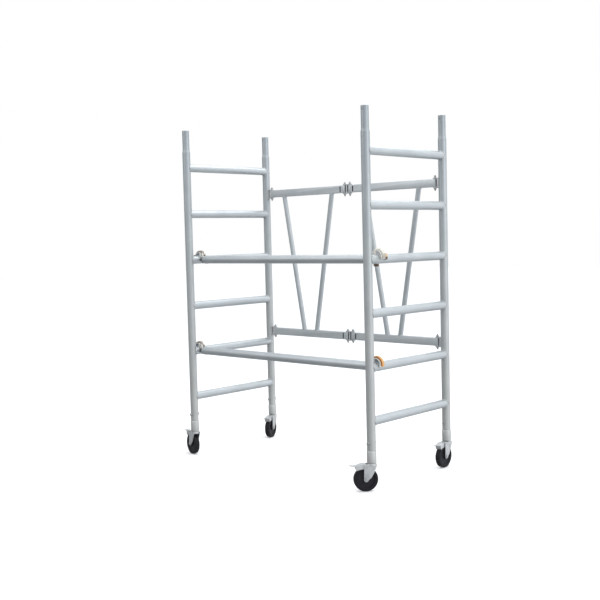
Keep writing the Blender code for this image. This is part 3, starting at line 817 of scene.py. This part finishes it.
def gate_hinges():
    """The brackets and bolts at the uprights, and the double hinges at the gate's middle."""
    nut, washer = bolt_meshes()
    low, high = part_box("right_upper_gate_bracket")
    ear_high = (high.z - low.z) / 2
    ear_low = ear_high - 0.0050
    pin_low, pin_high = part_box("right_upper_gate_pin")
    shaft = shaft_mesh((pin_high.z - pin_low.z) / 2, ear_high)
    for side, inwards in (("right", -1), ("left", 1)):
        upright = middle(f"{side}_rear_upright")
        for level in ("lower", "upper"):
            stem = f"{side}_{level}_gate"
            pin = middle(stem + "_pin")
            mesh = bracket_mesh(inwards, ear_low, ear_high, abs(pin.x - upright.x))
            body = f"{side}_frame"
            place = at(upright.x, pin.y, pin.z)
            piece(stem + "_bracket_plate", mesh, "zinc", body, place, [stem + "_bracket"])
            bracket_welds(stem, body, place, inwards, ear_high)
            fasten(stem, body, pin, shaft, nut, washer, ear_high, [stem + "_pin"])
    gate_links(shaft, nut, washer)


def bracket_welds(stem, body, place, inwards, ear_high):
    """Short fillets down both sides of a bracket, where it meets the upright."""
    radius = 0.0254
    for label, sign in (("front", -1), ("rear", 1)):
        y = sign * 0.0142
        x = inwards * math.sqrt(radius**2 - y**2)
        path = [(x + inwards * 0.0006, y, -ear_high + 2 * ear_high * i / 60) for i in range(61)]
        radii = [0.0022 * (0.86 + 0.16 * math.sin(math.pi * (i % 4) / 4)) for i in range(61)]
        radii[0] = radii[-1] = 0.0008
        mesh = mesh_from(f"{stem}_{label}_fillet", swept(path, radii, 10))
        piece(f"{stem}_{label}_fillet", mesh, "weld", body, place)


def fasten(stem, body, pin, shaft, nut, washer, seat, stands_for=()):
    """A threaded shaft with a washer and a nut above and below."""
    place = at(pin.x, pin.y, pin.z)
    piece(stem + "_shaft", shaft, "fastener", body, place, stands_for)
    for label, sign in (("top", 1), ("low", -1)):
        end = place @ half_turn(sign < 0, "X")
        turned = Matrix.Rotation(0.35 * sign + pin.x, 4, "Z")
        piece(f"{stem}_{label}_washer", washer, "fastener", body, end @ at(0, 0, seat))
        piece(f"{stem}_{label}_nut", nut, "fastener", body, end @ at(0, 0, seat + 0.0012) @ turned)


def gate_links(shaft, nut, washer):
    """The double hinges: two plates and a block between them, with a bolt at each end."""
    low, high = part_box("upper_gate_link")
    pins = link_pins()
    right, left = pins["right"], pins["left"]
    half_pitch = (right.x - left.x) / 2
    rail_low, rail_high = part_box("right_gate_upper_rail")
    plate_low = (rail_high.z - rail_low.z) / 2 + 0.0012
    plate_high = plate_low + 0.0050
    outline = stadium(-half_pitch, half_pitch, (high.y - low.y) / 2)
    core = half_pitch - 0.0160
    build = block((-core, -0.0115, -plate_high + 0.001), (core, 0.0115, plate_high - 0.001), 0.0010)
    spans = ((plate_low, plate_high), (-plate_high, -plate_low))
    plates = [prism(outline, under, over, bevel=0.0009) for under, over in spans]
    cuts = [bore(0.0051, 0.06, 24, at(x, 0, 0)) for x in (-half_pitch, half_pitch)]
    mesh = shaped("link_plates", build, plates, cuts)
    for level in ("lower", "upper"):
        node = f"{level}_gate_link"
        centre = Vector(((left.x + right.x) / 2, right.y, middle(node).z))
        piece(node + "_plates", mesh, "zinc", "gate_link", at(*centre), [node])
        for label, pin in (("left", left), ("right", right)):
            spot = Vector((pin.x, pin.y, centre.z))
            fasten(f"{node}_{label}", "gate_link", spot, shaft, nut, washer, plate_high)


# ---------------------------------------------------------------- braces


def claw_mesh(pivot, with_tongue):
    """The cast hook over the rung, with its cheeks, and a collar that closes the tube's end."""
    outline = arc((0, 0), CLAW_INNER, 0, 120, 26)
    outline += [(-0.0284, 0.0120), (-0.0284, -0.0120), (-0.0320, -0.0195), (-0.0410, -0.0215)]
    outline += [(-0.0410, 0.0250), (-0.0228, 0.0252), (-0.0216, 0.0330)]
    outline += arc(CROWN_CENTRE, CLAW_OUTER, 118, -20, 36) + [(0.0295, -0.0012)]
    cheek = [(-0.0410, 0.0235), (-0.0410, 0.0310)] + arc(pivot, 0.0080, 160, 20, 12) + [(-0.0205, 0.0235)]
    joined = [
        prism(cheek, -CLAW_HALF, -LEVER_HALF - 0.0004, "Y", 0.0012),
        prism(cheek, LEVER_HALF + 0.0004, CLAW_HALF, "Y", 0.0012),
    ]
    radius = COLLAR_RADIUS
    profile = [(0.0222, -0.0780), (0.0222, -0.0417), (radius - 0.0006, -0.0417), (radius, -0.0411)]
    profile += [(radius, -0.0360), (radius - 0.0008, -0.0340), (radius - 0.0030, -0.0312)]
    collar = lathe([*profile, (radius - 0.0060, -0.0300)])
    collar.transform(ALONG_X)
    joined.append(collar)
    if with_tongue:
        joined.append(block((-0.0370, 0.0005, -0.0420), (-0.0284, CLAW_HALF - 0.0006, -0.0100), 0.0012, 3))
        joined.append(block((-0.0330, 0.0009, -0.0417), (-0.0080, CLAW_HALF - 0.0009, -0.0275), 0.0022, 4))
    pocket = arc((0, 0), CLAW_INNER + POCKET_RIM, 20, 100, 20)
    pocket += arc(CROWN_CENTRE, CLAW_OUTER - POCKET_RIM, 96, 16, 20)
    floor = CLAW_HALF - POCKET_DEPTH
    cuts = [prism(pocket, low, high, "Y") for low, high in ((-0.03, -floor), (floor, 0.03))]
    mesh = shaped("hook_casting", prism(outline, -CLAW_HALF, CLAW_HALF, "Y", 0.0014, 3), joined, cuts)

    def chosen(spot):
        # Look 2: the dark brown foot of the tongue under the rung.
        if spot.z < -0.0255 and spot.x > -0.0265:
            return 2
        # Look 1 paints shadow onto the casting's inner face, between the rung and the tube.
        if spot.x < -0.0260 and spot.z < 0.0200:
            return 1 if spot.z > -0.0300 else 0
        # Look 3 paints shade into the side pockets and onto the claw's lower outer end.
        in_pocket = abs(abs(spot.y) - floor) < 0.0002 and spot.x > -0.0200
        return 3 if in_pocket or (spot.x > 0.0180 and spot.z < 0.0010) else 0

    return tint_faces(mesh, ("cast", "shaded", "brown_and_shadow", "pale_pocket" if with_tongue else "pocket"), chosen)


def tint_faces(mesh, looks, chosen):
    """Gives a mesh several looks, each face the one that chosen(its middle) names by number."""
    for look in looks:
        mesh.materials.append(LOOKS[look][0])
    for face in mesh.polygons:
        face.material_index = chosen(face.center)
    smooth(mesh)
    return mesh


def lever_mesh(pivot, with_tab, looks):
    """The hook's locking lever over the claw, with a finger tab or plain. looks: body, pad, tab, sides; the
    lower part of a tab always takes the dark brown painted shadow.
    """
    outline = arc(pivot, 0.0065, 300, 75, 16)
    if with_tab:
        tab = [(0.0364, 0.0356), (0.0480, 0.0325), (0.0565, 0.0300), (0.0588, 0.0240), (0.0586, 0.0100)]
        tab += [(0.0583, 0.0050), (0.0550, -0.0010), (0.0400, -0.0060)]
        outline += arc(CROWN_CENTRE, LEVER_OUTER, 118, 36, 26) + flowing(tab, 4)[1:]
    else:
        outline += arc(CROWN_CENTRE, LEVER_OUTER, 118, -12, 40)
    outline += arc(CROWN_CENTRE, LEVER_INNER, -12, 125, 40)
    top, low = 112, 40 if with_tab else -4
    channel = arc(CROWN_CENTRE, LEVER_OUTER + 0.001, top, low, 30)
    channel += arc(CROWN_CENTRE, LEVER_OUTER - 0.0012, low, top, 30)
    pin_hole = bore(0.0033, 0.02, 20, at(pivot[0], 0, pivot[1]) @ ALONG_Y)
    cuts = [pin_hole, prism(channel, -0.0056, 0.0056, "Y")]
    mesh = shaped("hook_lever", prism(outline, -LEVER_HALF, LEVER_HALF, "Y", 0.0011, 3), cut=cuts)

    def chosen(spot):
        if spot.x < -0.0180:
            return 1
        # Upper part of a finger tab: the tab look, which is a painted highlight on the upper right lever.
        if with_tab and spot.x > 0.0330 and spot.z < 0.0330:
            # Lower part of a finger tab: painted shadow in dark brown.
            return 2 if spot.z > 0.0120 else 4
        # Side faces: the sides look, which is a painted shade on the lower right lever.
        return 3 if abs(spot.y) > LEVER_HALF - 0.0004 else 0

    return tint_faces(mesh, (*looks, "brown_and_shadow"), chosen)


def braces():
    """Two front braces, each with a hook and a lever at both ends."""
    rung = middle("right_rung_2")
    pin = joint_place("lower_brace_right_lever_hinge")
    pivot = (pin.x - rung.x, pin.z - rung.z)
    claws = {False: claw_mesh(pivot, False), True: claw_mesh(pivot, True)}
    dome = [(0.0046, -0.0002), (0.0046, 0.0003), (0.0041, 0.0011), (0.0028, 0.0017), (0.0010, 0.0020)]
    rivet = mesh_from("rivet", lathe(dome, 24))
    pin_end = [(0.0022, 0.0186), (0.0044, 0.0182), (0.0050, 0.0172), (0.0050, 0.0160), (0.0030, 0.0160)]
    pin_mesh = mesh_from("lever_pin", lathe([(r, -y) for r, y in pin_end] + pin_end[::-1], 24))
    levers = {
        # The lower right lever's sides take a painted shade; the upper right lever's tab takes a painted
        # highlight.
        ("lower", "right"): lever_mesh(pivot, False, ("orange", "orange", "orange", "shaded_orange")),
        ("lower", "left"): lever_mesh(pivot, False, ("worn", "worn", "worn", "worn")),
        ("upper", "right"): lever_mesh(pivot, True, ("cast", "cast", "rubbed_and_highlight", "cast")),
        ("upper", "left"): lever_mesh(pivot, True, ("worn", "worn", "worn", "worn")),
    }
    low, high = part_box("lower_brace_tube")
    tube = brace_tube_mesh(high.x - low.x, (high.y - low.y) / 2)
    for level in ("lower", "upper"):
        stem = f"{level}_brace"
        node = stem + "_tube"
        centre = middle(node)
        piece(node + "_shell", tube, "tube", stem, at(*centre) @ ALONG_X, [node])
        for side in ("right", "left"):
            rung = middle(f"{side}_rung_{2 if level == 'lower' else 4}")
            place = at(rung.x, centre.y, rung.z) @ half_turn(side == "left")
            hook = f"{stem}_{side}"
            claw = claws[(level, side) == ("upper", "right")]
            piece(hook + "_casting", claw, "cast", stem, place, [hook + "_hook"])
            pin_place = place @ at(pivot[0], 0, pivot[1]) @ ALONG_Y
            piece(hook + "_pin", pin_mesh, "fastener", stem, pin_place)
            piece(hook + "_catch", levers[level, side], "orange", hook + "_lever", place, [hook + "_lever"])
            for spot in (0.052, 0.068):
                seat = place @ at(-spot, 0, 0.0253)
                piece(f"{hook}_rivet_{int(spot * 1000)}", rivet, "fastener", stem, seat)
                under = place @ at(-spot, 0, -0.0253) @ FLIPPED
                piece(f"{hook}_under_rivet_{int(spot * 1000)}", rivet, "fastener", stem, under)


def brace_tube_mesh(length, radius):
    """A tube about Z with its outer rims eased."""
    half = length / 2
    inner = radius - TUBE_WALL
    eased = 0.0008
    profile = [(radius - eased, -half), (radius, -half + eased), (radius, half - eased)]
    profile += [(radius - eased, half), (inner, half), (inner, -half)]
    return mesh_from("brace_tube", lathe(profile, 72, ring=True))


# ---------------------------------------------------------------- castors


def collar_mesh():
    """The castor's collar below the leg, with rolled rims and a machined groove, and its stem."""
    low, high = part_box("right_front_castor_stem")
    radius = (high.x - low.x) / 2
    bottom = low.z
    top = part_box("right_front_upright")[0].z - 0.0003
    profile = [
        (0.0150, bottom), (radius - 0.0022, bottom), (radius - 0.0006, bottom + 0.0007),
        (radius, bottom + 0.0022), (radius, bottom + 0.0100),
        (radius - 0.0007, bottom + 0.0106), (radius - 0.0007, bottom + 0.0118),
        (radius, bottom + 0.0124), (radius, top - 0.0052), (radius - 0.0003, top - 0.0046),
        (radius - 0.0017, top - 0.0004), (radius - 0.0022, top),
        (0.0222, top), (0.0222, high.z - 0.002), (0.0202, high.z), (0.0150, high.z),
    ]
    return mesh_from("castor_collar", lathe(profile, 64, ring=True))


def fork_mesh():
    """Crown, deck and legs of the swivel fork, about the swivel's axis with the trail along X."""
    top = 0.1562
    crown = [
        (0.0100, CROWN_BOTTOM), (0.0255, CROWN_BOTTOM), (0.0268, 0.1413), (0.0275, 0.1430), (0.0275, 0.1458),
        (0.0263, 0.1465), (0.0263, 0.1474), (0.0273, 0.1482), (0.0273, 0.1508), (0.0260, 0.1534),
        (0.0243, top - 0.0008), (0.0210, top), (0.0100, top),
    ]
    leg = flowing([(0.0059, 0.0805), (-0.0113, 0.1105), (-0.0236, 0.1410), (-0.0268, 0.1528)], 5)
    leg += [(-0.0258, 0.1540), (0.0400, 0.1540)]
    leg += arc(PEDAL_PIVOT, 0.0074, 100, -20, 10)
    leg += flowing([(0.0494, 0.1400), (0.0481, 0.1310), (0.0483, 0.1050), (0.0490, 0.0760)], 5)
    leg += arc((TRAIL, WHEEL_RADIUS), LEG_FOOT_RADIUS, 5, -165, 18)
    sides = ((LEG_INNER, LEG_OUTER), (-LEG_OUTER, -LEG_INNER))
    joined = [prism(leg, inner, outer, "Y", 0.0007) for inner, outer in sides]
    joined.append(block((-0.0225, -0.0222, 0.1409), (0.0330, 0.0222, 0.1458), 0.0006))
    return shaped("castor_fork", lathe(crown, 56), joined)


def wheel_meshes():
    """The tyre and the hub, about the axle along Z."""
    half = WHEEL_HALF
    shoulder = arc((WHEEL_RADIUS - 0.0052, half - 0.0052), 0.0052, 90, 20, 7)
    right = [(0.0470, half - 0.0060), (0.0485, half - 0.0020), (0.0500, half - 0.0008)]
    right += [(0.0525, half), (0.0560, half)]
    right += [(0.0565, half - 0.0004), (0.0572, half - 0.0004), (0.0577, half), *shoulder]
    right += [(WHEEL_RADIUS - 0.0001, half - 0.0090), (WHEEL_RADIUS, 0.0006)]
    tyre = lathe(right + [(r, -z) for r, z in reversed(right)], 96, ring=True)
    hub_side = [(0.0056, HUB_HALF - 0.0010), (0.0100, HUB_HALF - 0.0010), (0.0106, HUB_HALF - 0.0003)]
    hub_side += [(0.0112, HUB_HALF), (0.0155, HUB_HALF), (0.0165, HUB_HALF - 0.0010), (0.0170, half - 0.0045)]
    hub_side += [(0.0185, half - 0.0062), (0.0320, half - 0.0070), (0.0450, half - 0.0060)]
    hub_side.append((0.0472, half - 0.0056))
    hub = lathe(hub_side + [(r, -z) for r, z in reversed(hub_side)], 72, ring=True)
    return mesh_from("castor_tyre", tyre), mesh_from("castor_hub", hub)


def pedal_mesh():
    """The pressed brake pedal: a bent plate with turned-down sides and front, with the trail along X."""
    bends = [(0.0352, 0.1551), (0.0450, 0.1556), (0.0600, 0.1556), (0.0700, 0.1535), (0.0790, 0.1505)]
    bends += [(0.0920, 0.1465), (0.1060, 0.1451), (0.1190, 0.1475), (0.1285, 0.1524)]
    top = flowing(bends, 5)
    thick = 0.0024
    under = []
    for i, (x, z) in enumerate(top):
        ahead = top[min(i + 1, len(top) - 1)]
        behind = top[max(i - 1, 0)]
        run, rise = ahead[0] - behind[0], ahead[1] - behind[1]
        length = math.hypot(run, rise)
        under.append((x + thick * rise / length, z - thick * run / length))
    plate = prism(top + under[::-1], -PEDAL_HALF, PEDAL_HALF, "Y", 0.0006, 2)
    side_top = [(x, z - 0.0004) for x, z in top if 0.0365 < x < 0.0950]
    lower = [(0.0955, 0.1430), (0.0930, 0.1258), (0.0898, 0.1195), (0.0820, 0.1218), (0.0700, 0.1252)]
    lower += [(0.0560, 0.1272), (0.0440, 0.1292), (0.0367, 0.1372)]
    sides = ((SKIRT_INNER, SKIRT_OUTER), (-SKIRT_OUTER, -SKIRT_INNER))
    joined = [prism(side_top + lower, inner, outer, "Y", 0.0005) for inner, outer in sides]
    front = [(0.0955, 0.1450), (0.0955, 0.1430), (0.0929, 0.1255), (0.0886, 0.1180), (0.0868, 0.1192)]
    front += [(0.0907, 0.1262), (0.0930, 0.1450)]
    joined.append(prism(front, -SKIRT_OUTER, SKIRT_OUTER, "Y", 0.0004, 2))
    axle = (TRAIL, WHEEL_RADIUS)
    shoe = arc(axle, WHEEL_RADIUS + 0.0019, 50, 76, 10) + arc(axle, WHEEL_RADIUS + 0.0125, 76, 50, 10)
    joined.append(prism(shoe, -0.0135, 0.0135, "Y", 0.0008, 2))
    return shaped("brake_pedal", plate, joined)


def castor_meshes():
    """The meshes that the four castors share, by name."""
    tyre, hub = wheel_meshes()
    axle_end = [(0.0050, -0.0238), (0.0050, 0.0238), (0.0050, 0.0290), (0.0042, 0.0296)]
    axle = [(0.0036, -0.0318), *thread(0.0050, -0.0310, -0.0240), *axle_end]
    bolt = [(0.0036, -0.0349), *thread(0.0050, -0.0346, -0.0240), (0.0050, -0.0240), (0.0050, 0.0262)]
    pin_end = [(0.0020, 0.0250), (0.0036, 0.0247), (0.0042, 0.0240), (0.0042, 0.0235), (0.0025, 0.0235)]
    king = [(0.0020, 0.1372), (0.0045, 0.1374), (0.0080, 0.1381), (0.0098, 0.1394), (0.0100, CROWN_BOTTOM)]
    return {
        "collar": collar_mesh(),
        "fork": fork_mesh(),
        "tyre": tyre,
        "hub": hub,
        "pedal": pedal_mesh(),
        "nut": hex_mesh("axle_nut", 0.0094, 0.0056),
        "head": hex_mesh("leg_bolt_head", 0.0085, LEG_BOLT_HEAD),
        "axle": mesh_from("axle", lathe(axle, 28)),
        "bolt": mesh_from("leg_bolt", lathe(bolt, 24)),
        "pin": mesh_from("pedal_pin", lathe([(r, -y) for r, y in pin_end] + pin_end[::-1], 20)),
        "kingpin": mesh_from("kingpin", lathe(king, 28)),
    }


def castor(side, end, meshes):
    """One castor, turned to its own heading."""
    label = f"{side}_{end}"
    body, fork, wheel, pedal = f"{side}_frame", label + "_fork", label + "_wheel", label + "_pedal"
    corner = joint_place(label + "_swivel")
    spin = Vector(JOINTS[label + "_wheel_spin"]["axis"])
    base = at(corner.x, corner.y, 0)
    turned = base @ Matrix.Rotation(math.atan2(-spin.x, spin.y), 4, "Z")
    piece(label + "_collar", meshes["collar"], "leg", body, base, [label + "_castor_stem"])
    cross = base @ at(0, 0, BOLT_LEVEL) @ ALONG_Y @ FLIPPED
    seat = at(0, 0, LEG_BOLT_SEAT)
    piece(label + "_leg_bolt", meshes["bolt"], "fastener", body, cross)
    piece(label + "_leg_bolt_head", meshes["head"], "fastener", body, cross @ seat)
    piece(label + "_leg_bolt_nut", meshes["head"], "fastener", body, cross @ FLIPPED @ seat)
    squared_piece(label + "_fork_pressing", meshes["fork"], "zinc", fork, turned, [label + "_castor_fork"])
    piece(label + "_kingpin", meshes["kingpin"], "fastener", fork, turned)
    hub_place = turned @ at(TRAIL, 0, WHEEL_RADIUS) @ ALONG_Y
    piece(label + "_axle", meshes["axle"], "fastener", fork, hub_place)
    for which in ("near", "far"):
        nut_place = hub_place @ half_turn(which == "far", "X") @ at(0, 0, LEG_OUTER - 0.0001)
        piece(f"{label}_axle_{which}_nut", meshes["nut"], "fastener", fork, nut_place)
    squared_piece(label + "_tyre", meshes["tyre"], "tyre", wheel, hub_place, [label + "_castor_wheel"])
    piece(label + "_hub", meshes["hub"], "nylon", wheel, hub_place)
    pin_place = turned @ at(PEDAL_PIVOT[0], 0, PEDAL_PIVOT[1]) @ ALONG_Y
    piece(label + "_pedal_pin", meshes["pin"], "fastener", fork, pin_place)
    squared_piece(pedal + "_plate", meshes["pedal"], "zinc", pedal, turned, [label + "_brake_pedal"])


def castors():
    meshes = castor_meshes()
    for side in ("right", "left"):
        for end in ("front", "rear"):
            castor(side, end, meshes)

# ---------------------------------------------------------------- stage


def camera():
    """The scene's camera, turned by its yaw from +X, its pitch and its roll."""
    yaw, pitch, roll = (math.radians(angle) for angle in (CAMERA_YAW, CAMERA_PITCH, CAMERA_ROLL))
    ahead = Vector((math.cos(pitch) * math.cos(yaw), math.cos(pitch) * math.sin(yaw), math.sin(pitch)))
    level = Vector((math.sin(yaw), -math.cos(yaw), 0))
    upright = level.cross(ahead)
    right = math.cos(roll) * level + math.sin(roll) * upright
    up = math.cos(roll) * upright - math.sin(roll) * level
    data = bpy.data.cameras.new("studio_camera")
    data.sensor_width = 36.0
    data.lens = CAMERA_LENS
    data.clip_end = 200.0
    made = linked("studio_camera", data)
    made.matrix_world = Matrix.Translation(CAMERA_PLACE) @ Matrix((right, up, -ahead)).transposed().to_4x4()
    bpy.context.scene.camera = made


def soft_light(name, place, target, size, power):
    """A large rectangular light, turned to its target and hidden from the camera."""
    data = bpy.data.lights.new(name, "AREA")
    data.shape = "RECTANGLE"
    data.size, data.size_y = size
    data.energy = power
    made = linked(name, data)
    made.location = place
    made.rotation_euler = (Vector(target) - Vector(place)).to_track_quat("-Z", "Y").to_euler()
    made.visible_camera = False


def surround():
    """Even white behind the object; a soft sky, brighter above and to the right, that lights it."""
    world = bpy.data.worlds.new("studio_surround")
    world.use_nodes = True
    tree = world.node_tree
    lit = tree.nodes["Background"]
    place = tree.nodes.new("ShaderNodeTexCoord").outputs["Generated"]
    slope = tree.nodes.new("ShaderNodeVectorMath")
    slope.operation = "DOT_PRODUCT"
    slope.inputs[1].default_value = SKY_SLOPE
    tree.links.new(place, slope.inputs[0])
    spread = tree.nodes.new("ShaderNodeMapRange")
    for key, value in (("From Min", -1.0), ("From Max", 1.0), ("To Min", SKY_DARK), ("To Max", SKY_BRIGHT)):
        spread.inputs[key].default_value = value
    tree.links.new(slope.outputs["Value"], spread.inputs["Value"])
    tree.links.new(spread.outputs["Result"], lit.inputs["Strength"])
    lit.inputs["Color"].default_value = (0.95, 0.975, 1.0, 1.0)
    plain = tree.nodes.new("ShaderNodeBackground")
    plain.inputs["Strength"].default_value = 1.0
    plain.inputs["Color"].default_value = (1.0, 1.0, 1.0, 1.0)
    choice = tree.nodes.new("ShaderNodeMixShader")
    tree.links.new(tree.nodes.new("ShaderNodeLightPath").outputs["Is Camera Ray"], choice.inputs[0])
    tree.links.new(lit.outputs[0], choice.inputs[1])
    tree.links.new(plain.outputs[0], choice.inputs[2])
    tree.links.new(choice.outputs[0], tree.nodes["World Output"].inputs["Surface"])
    bpy.context.scene.world = world


def stage():
    """A pale floor, the surround and three large soft lights."""
    slab = block((-30, -30, -0.02), (30, 30, -0.0002))
    floor = linked("studio_floor", mesh_from("studio_floor", slab))
    floor.data.materials.append(pale_floor())
    floor.visible_glossy = False
    surround()
    soft_light("key", (-2.4, -4.6, 4.4), (0, 0, 1.0), (4.0, 4.6), 55.0)
    soft_light("right_fill", (5.2, 0.6, 2.6), (0, 0, 1.0), (2.4, 3.6), 24.0)
    soft_light("top", (0.4, 0.8, 5.2), (0, 0, 0.8), (5.0, 5.0), 120.0)
    bpy.context.scene.view_settings.view_transform = "Standard"


def main():
    ladder_frames()
    gate_rails()
    gate_diagonals()
    gate_hinges()
    braces()
    castors()
    stage()
    camera()


main()
